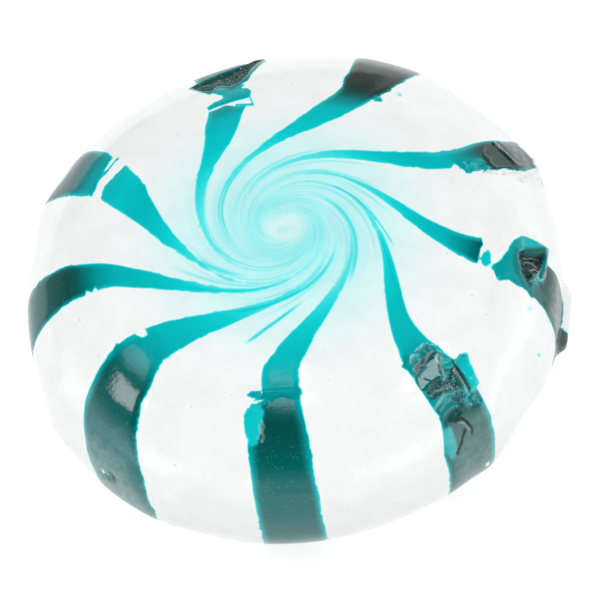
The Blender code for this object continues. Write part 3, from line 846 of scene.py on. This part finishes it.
# Absorption of turquoise sugar for each unit of depth, and how it grows with the depth
ABSORPTION = (6.2, 0.443, 0.39)
GROWTH = (0.0, 0.0, 0.0135)

# Edge of the stripes in millimetres, how ragged it is, and the depth of the pale rim
EDGE = Ramp(-0.06, 0.06)
RAGGED = Noise(1700.0, 4.0, 0.65)
RAGGED_PLACES = Noise(350.0)
RAGGED_REACH = Ramp(0.42, 0.62, 0.07, 0.36)
RIM_SHARE = 0.42
RIM_LEAST = 1.4

# Turquoise specks in the white, and pale ones in crushed places and on the side
DOTS = Specks(950.0, 0.25, 0.07, 0.13)
DUST = Specks(2400.0, 0.2, 0.12, 0.16)
CRUMBS = Specks(9500.0, 0.5, 0.4, 0.6)
CRUMB_PLACES = Ramp(0.3, 0.7)
PITS = Specks(11000.0, 0.2, 0.5, 0.08)
PIT_PLACES = Ramp(8.5, 11.0)
CLOUDS = Noise(3000.0)
CLOUD_SHARE = Ramp(0.3, 0.65, 0.55, 1.1)

# The pale swirl by millimetres from the axis: streaks, a core, a ring, a haze and the
# paler middle. A stretch says how fine it is round the middle and along the streaks
STREAKS = Noise(1.0, 4.0, 0.7)
STREAK_STRETCH = (9.0, 1.2)
STREAK_DEPTH = Ramp(0.45, 0.7, 0.0, 0.07)
STREAK_REACH = (Ramp(5.2, 3.0), Ramp(0.6, 1.2))
CORE = Noise(1.0)
CORE_STRETCH = (2.2, 1.0)
CORE_DEPTH = Ramp(0.25, 0.75, 0.005, 0.05)
CORE_REACH = Ramp(4.4, 2.2)
RING_REACH = (Ramp(0.9, 1.3), Ramp(2.0, 1.5, 0.0, 0.04))
HAZE_FALL = -0.025
HAZE_REACH = Ramp(8.0, 4.5, 0.0, 0.075)
MIDDLE_SHARE = Ramp(0.45, 1.0, 0.45, 1.0)
AXIS_CLEARANCE = 0.05

# Tone of the white by millimetres from the axis and by metres of height: painted light on the face, painted
# shade at the rim, low down and underneath; then mottle, and painted shade along creases
FACE_PAINTED_LIGHT = Ramp(3.0, 9.5, 1.035, 1.01)
RIM_PAINTED_SHADE = Ramp(10.9, 12.0, 1.0, 0.94)
LOW_PAINTED_SHADE = Ramp(0.003, 0.0072, 0.9, 1.0)
UNDER_PAINTED_SHADE = Ramp(0.0022, 0.0032, 0.82, 1.0)
MOTTLE = Noise(700.0, 4.0, 0.65)
MOTTLE_TONE = Ramp(0.3, 0.7, 0.965, 1.02)
CREASES = Noise(260.0, 3.0, 0.6)
CREASE_PAINTED_SHADE = Ramp(0.0035, 0.0, 0.0, 0.05)
CREASE_PLACES = Noise(180.0, 1.0)
CREASE_SHARE = Ramp(0.5, 0.62)

# Gloss, light that scatters inside, bumps with their height in metres, and the small
# faces of crushed sugar: scale for each metre and slope
GLOSSY, DULL = 0.11, 0.75
REFRACTION = 1.5
SCATTER = 0.3
SCATTER_RADIUS = (0.9, 1.0, 1.0)
SCATTER_SCALE = 0.0009
BUMPS = ((Noise(5200.0), 0.0000035), (Noise(900.0, 3.0, 0.55), 0.000008))
SMALL_FACES = ((5000.0, 0.8), (14000.0, 1.1))


def swirl_position(graph, place):
    """The direction from the axis with the spiral taken out, and the logarithm of the
    distance from the axis and that distance, in millimetres."""
    parts = graph.node("SeparateXYZ", place).outputs
    across, away = graph.times(parts[0], 1 / MM), graph.times(parts[1], 1 / MM)
    squares = graph.plus(graph.times(across, across), graph.times(away, away))
    radius = graph.math("MAXIMUM", graph.math("SQRT", squares), AXIS_CLEARANCE)
    growth = graph.math("LOGARITHM", radius, math.e)
    flat = graph.node("CombineXYZ", graph.math("DIVIDE", across, radius), graph.math("DIVIDE", away, radius))
    turned = graph.node("VectorRotate", flat.outputs[0], rotation_type="Z_AXIS")
    graph.feed(turned.inputs["Angle"], graph.times(growth, SPIRAL_SLANT))
    return turned.outputs[0], growth, radius


def wound_noise(graph, swirl, stretch, kind):
    """Noise drawn out along the swirl."""
    direction, growth = swirl[:2]
    parts = graph.node("SeparateXYZ", graph.vector("SCALE", direction, None, None, stretch[0])).outputs
    joined = graph.node("CombineXYZ", parts[0], parts[1], graph.times(growth, stretch[1]))
    return graph.noise(joined.outputs[0], kind)


def specks(graph, place, kind):
    """Round specks: one where a cell's draw is under the chance."""
    cells = graph.node("TexVoronoi", place, None, kind.scale)
    parts = graph.node("SeparateColor", cells.outputs["Color"]).outputs
    drawn = graph.math("LESS_THAN", parts[0], kind.chance)
    spot = graph.math("LESS_THAN", cells.outputs["Distance"], graph.times(parts[1], kind.size))
    return graph.times(drawn, spot, kind.strength)


def stripes(graph, place):
    """How far a place is in a stripe, 0 to 1, and the depth of the turquoise there."""
    reach = graph.ramp(graph.noise(place, RAGGED_PLACES), RAGGED_REACH)
    ragged = graph.times(graph.math("SUBTRACT", graph.noise(place, RAGGED), 0.5), reach)
    cover = graph.ramp(graph.plus(ragged, graph.field("edge")), EDGE)
    depth = graph.field("depth")
    rim = graph.math("MAXIMUM", graph.times(depth, RIM_SHARE), RIM_LEAST)
    inner = graph.mix(graph.field("core"), graph.math("MINIMUM", depth, rim), depth)
    return cover, graph.times(cover, inner)


def pale_swirl(graph, place, swirl):
    """Depth of the thin turquoise: round the middle, in the streams and in specks."""
    radius = swirl[2]
    streaks = graph.ramp(wound_noise(graph, swirl, STREAK_STRETCH, STREAKS), STREAK_DEPTH)
    streaks = graph.times(streaks, graph.ramp(radius, *STREAK_REACH))
    core = graph.ramp(wound_noise(graph, swirl, CORE_STRETCH, CORE), CORE_DEPTH)
    core = graph.times(core, graph.ramp(radius, CORE_REACH))
    fall = graph.math("EXPONENT", graph.times(radius, radius, HAZE_FALL))
    haze = graph.times(fall, graph.ramp(radius, HAZE_REACH))
    pale = graph.plus(streaks, core, graph.ramp(radius, *RING_REACH), haze)
    pale = graph.times(pale, graph.ramp(radius, MIDDLE_SHARE))
    return graph.plus(pale, graph.field("strand"), specks(graph, place, DOTS), specks(graph, place, DUST))


def white_mottle_and_painted_shading(graph, place, radius):
    """How light the white is: painted light on the face, painted shade at the rim and below, with mottle and
    painted shade along creases.
    """
    height = graph.node("SeparateXYZ", place).outputs[2]
    mottle = graph.ramp(graph.noise(place, MOTTLE), MOTTLE_TONE)
    crossing = graph.math("ABSOLUTE", graph.math("SUBTRACT", graph.noise(place, CREASES), 0.5))
    sparse = graph.ramp(graph.noise(place, CREASE_PLACES), CREASE_SHARE)
    crease_shade = graph.times(graph.ramp(crossing, CREASE_PAINTED_SHADE), sparse)
    return graph.times(graph.ramp(radius, FACE_PAINTED_LIGHT, RIM_PAINTED_SHADE), graph.ramp(height, LOW_PAINTED_SHADE, UNDER_PAINTED_SHADE),
                       graph.math("SUBTRACT", mottle, crease_shade))


def sugar_colour(graph, depth, mottle_and_painted_shading):
    """White sugar through a depth of turquoise, scaled by the white's mottle and its painted light and shade.
    """
    channels = graph.node("CombineColor")
    for socket, white, weight, growth in zip(channels.inputs, WHITE, ABSORPTION, GROWTH):
        rate = graph.math("MULTIPLY_ADD", depth, -growth, -weight)
        passed = graph.math("EXPONENT", graph.times(depth, rate))
        graph.feed(socket, graph.times(passed, mottle_and_painted_shading, white))
    return channels.outputs[0]


def reflection_and_speck_share(graph, place, radius, broken):
    """How much pale grey a place gets: painted glints and reflections, crumbs and pits."""
    reflected = graph.times(graph.field("painted_reflection"), graph.ramp(graph.noise(place, CLOUDS), CLOUD_SHARE))
    crumbs = graph.times(specks(graph, place, CRUMBS), graph.ramp(broken, CRUMB_PLACES))
    pits = graph.times(specks(graph, place, PITS), graph.ramp(radius, PIT_PLACES))
    return graph.math("MAXIMUM", reflected, graph.math("MAXIMUM", crumbs, pits))


def sugar_normal(graph, place, broken):
    """Fine bumps, and small faces that each tilt their own way in crushed sugar."""
    bump = graph.node("Bump")
    bump.inputs["Distance"].default_value = 1.0
    bump.inputs["Strength"].default_value = 1.0
    heights = [graph.times(graph.noise(place, kind), height) for kind, height in BUMPS]
    graph.feed(bump.inputs["Height"], graph.plus(*heights))
    normal = bump.outputs[0]
    for scale, slope in SMALL_FACES:
        cells = graph.node("TexVoronoi", place, None, scale)
        tilt = graph.vector("SUBTRACT", cells.outputs["Color"], (0.5, 0.5, 0.5))
        tilt = graph.vector("SCALE", tilt, None, None, graph.times(broken, slope))
        normal = graph.vector("ADD", normal, tilt)
    return graph.vector("NORMALIZE", normal)


def sugar_material():
    material = bpy.data.materials.new("boiled_sugar")
    material.use_nodes = True
    graph = Graph(material.node_tree)
    place = graph.node("TexCoord").outputs["Object"]
    swirl = swirl_position(graph, place)
    radius = swirl[2]
    broken = graph.field("broken")
    cover, stripe = stripes(graph, place)
    depth = graph.plus(stripe, pale_swirl(graph, place, swirl))
    # the white's colour carries painted light on the face and painted shade at the rim and underneath
    colour = sugar_colour(graph, depth, white_mottle_and_painted_shading(graph, place, radius))
    # pale grey painted over the stripes: painted glints and reflections, crumbs and pits
    share = graph.times(reflection_and_speck_share(graph, place, radius, broken), cover)
    painted_over = graph.node("Mix", share, data_type="RGBA")
    graph.feed(painted_over.inputs[6], colour)
    graph.feed(painted_over.inputs[7], REFLECTION_AND_SPECK_GREY)
    inputs = material.node_tree.nodes["Principled BSDF"].inputs
    for name, value in (("Base Color", painted_over.outputs[2]),
                        ("Roughness", graph.mix(graph.field("matte"), GLOSSY, DULL)),
                        ("Normal", sugar_normal(graph, place, broken)),
                        ("IOR", REFRACTION), ("Subsurface Weight", SCATTER),
                        ("Subsurface Radius", SCATTER_RADIUS), ("Subsurface Scale", SCATTER_SCALE)):
        graph.feed(inputs[name], value)
    return material


# Camera: height over the horizon, roll, distance and the middle of the view
CAMERA_ELEVATION = 55.95
CAMERA_ROLL = -8.56
CAMERA_DISTANCE = 0.200
FOCAL_PIXELS = 4524.9
PICTURE_PIXELS = 600
CENTRE_PIXEL = (295.09, 294.20)
SENSOR_MM = 36.0
CLIP_START = 0.01


def make_camera():
    tilt, roll = math.radians(CAMERA_ELEVATION), math.radians(CAMERA_ROLL)
    forward = Vector((0.0, math.cos(tilt), -math.sin(tilt)))
    level = Vector((1.0, 0.0, 0.0))
    raised = Vector((0.0, math.sin(tilt), math.cos(tilt)))
    right = math.cos(roll) * level + math.sin(roll) * raised
    up = math.cos(roll) * raised - math.sin(roll) * level
    middle = Vector((*PLAN_SHIFT, THICKNESS / 2 - FOOT_DEPTH)) * MM
    metres_a_pixel = CAMERA_DISTANCE / FOCAL_PIXELS
    aside, lift = ((PICTURE_PIXELS / 2 - pixel) * metres_a_pixel for pixel in CENTRE_PIXEL)
    data = bpy.data.cameras.new("camera")
    data.sensor_width = SENSOR_MM
    data.lens = FOCAL_PIXELS * SENSOR_MM / PICTURE_PIXELS
    data.clip_start = CLIP_START
    camera = add_object("camera", data)
    turn = Matrix((right, up, -forward)).transposed().to_4x4()
    stand = middle - forward * CAMERA_DISTANCE + right * aside - up * lift
    camera.matrix_world = Matrix.Translation(stand) @ turn
    bpy.context.scene.camera = camera


FLOOR_RADIUS = 0.6
FLOOR_STEP = 5  # degrees between its corners
FLOOR_GLOW = 0.74
FLOOR_TONE = 0.38
FLOOR_ROUGHNESS = 0.9
BRIGHT = (1.0, 1.0, 1.0, 1.0)
TENT_LIGHT = 1.0  # from all round, which the candy doesn't mirror
NEAR_SHARE = 0.16  # how much more of it comes from the near side
LEFT_SHARE = 0.09  # how much less of it comes from the left


def make_floor():
    corners = [(math.cos(angle) * FLOOR_RADIUS, math.sin(angle) * FLOOR_RADIUS, 0.0)
               for angle in np.radians(np.arange(0, 360, FLOOR_STEP))]
    data = bpy.data.meshes.new("floor")
    data.from_pydata(corners, [], [tuple(range(len(corners)))])
    material = bpy.data.materials.new("floor")
    material.use_nodes = True
    inputs = material.node_tree.nodes["Principled BSDF"].inputs
    inputs["Base Color"].default_value = (FLOOR_TONE, FLOOR_TONE, FLOOR_TONE, 1.0)
    inputs["Roughness"].default_value = FLOOR_ROUGHNESS
    inputs["Emission Color"].default_value = BRIGHT
    inputs["Emission Strength"].default_value = FLOOR_GLOW
    data.materials.append(material)
    floor = add_object("floor", data)


def make_world():
    """Even light from all round, a little stronger from the near side and weaker from
    the left."""
    world = bpy.data.worlds.new("tent")
    world.use_nodes = True
    graph = Graph(world.node_tree)
    background = world.node_tree.nodes["Background"]
    background.inputs["Color"].default_value = BRIGHT
    parts = graph.node("SeparateXYZ", graph.node("TexCoord").outputs["Generated"]).outputs
    strength = graph.math("MULTIPLY_ADD", parts[1], -NEAR_SHARE, TENT_LIGHT)
    leftward = graph.math("MINIMUM", parts[0], 0.0)
    strength = graph.math("MULTIPLY_ADD", leftward, LEFT_SHARE, strength)
    graph.feed(background.inputs["Strength"], strength)
    world.cycles_visibility.glossy = False
    bpy.context.scene.world = world


# Softboxes: direction to the middle of each, its size in degrees, its radiance and roll
Softbox = namedtuple("Softbox", "name azimuth elevation width height radiance roll", defaults=(0.0,))
SOFTBOXES = (
    Softbox("overhead", 236, 82.9, 9.5, 7.6, 2.4, 36),
    Softbox("beyond", 132, 84.8, 12, 2.2, 2.2, -50),
    Softbox("left_low", 180, 44.5, 13, 12.5, 7, 33),
    Softbox("left_high", 160.3, 55.8, 8.5, 7.8, 1.9, 55),
    Softbox("right_high", -13, 62, 13, 8, 7.5),
    Softbox("right_low", -26, 47, 16, 18, 1.6),
)
# White cards that stand all round, as the candy mirrors them, from azimuth 0 on
CARD_LIGHT = (1.9, 1.3, 1.0, 0.5, 0.15, 0.35, 1.9, 2.2, 1.2, 0.85, 1.8, 2.3)
# Rings of them one above another: from and to in degrees, and their share of that light
CARD_ROWS = ((0, 15, 1), (15, 20, 0.72), (20, 25, 0.45), (25, 30, 0.22), (30, 36, 0.08))
LIGHT_DISTANCE = 0.5


def make_softbox(box):
    away = Vector(unit_vector(box.azimuth, box.elevation))
    data = bpy.data.lights.new(box.name, "AREA")
    data.shape = "RECTANGLE"
    data.size = 2 * LIGHT_DISTANCE * math.tan(math.radians(box.width / 2))
    data.size_y = 2 * LIGHT_DISTANCE * math.tan(math.radians(box.height / 2))
    data.energy = box.radiance * math.pi * data.size * data.size_y
    light = add_object(box.name, data)
    turn = away.to_track_quat("Z", "Y").to_matrix().to_4x4() @ Matrix.Rotation(math.radians(box.roll), 4, "Z")
    light.matrix_world = Matrix.Translation(away * LIGHT_DISTANCE) @ turn
    light.visible_camera = False
    return light


def make_cards():
    """Rings of cards that only show in the gloss."""
    step = 360.0 / len(CARD_LIGHT)
    for low, high, share in CARD_ROWS:
        for index, radiance in enumerate(CARD_LIGHT):
            name = "card_%02d" % index
            box = Softbox(name, index * step, (low + high) / 2, step, high - low, radiance * share)
            make_softbox(box).visible_diffuse = False


def set_view():
    bpy.context.scene.view_settings.view_transform = "Standard"
    bpy.context.scene.view_settings.look = "None"


make_camera()
candy = make_candy()
candy.data.materials.append(sugar_material())
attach(candy, "root")
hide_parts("candy")
make_floor()
make_world()
for softbox in SOFTBOXES:
    make_softbox(softbox)
make_cards()
set_view()
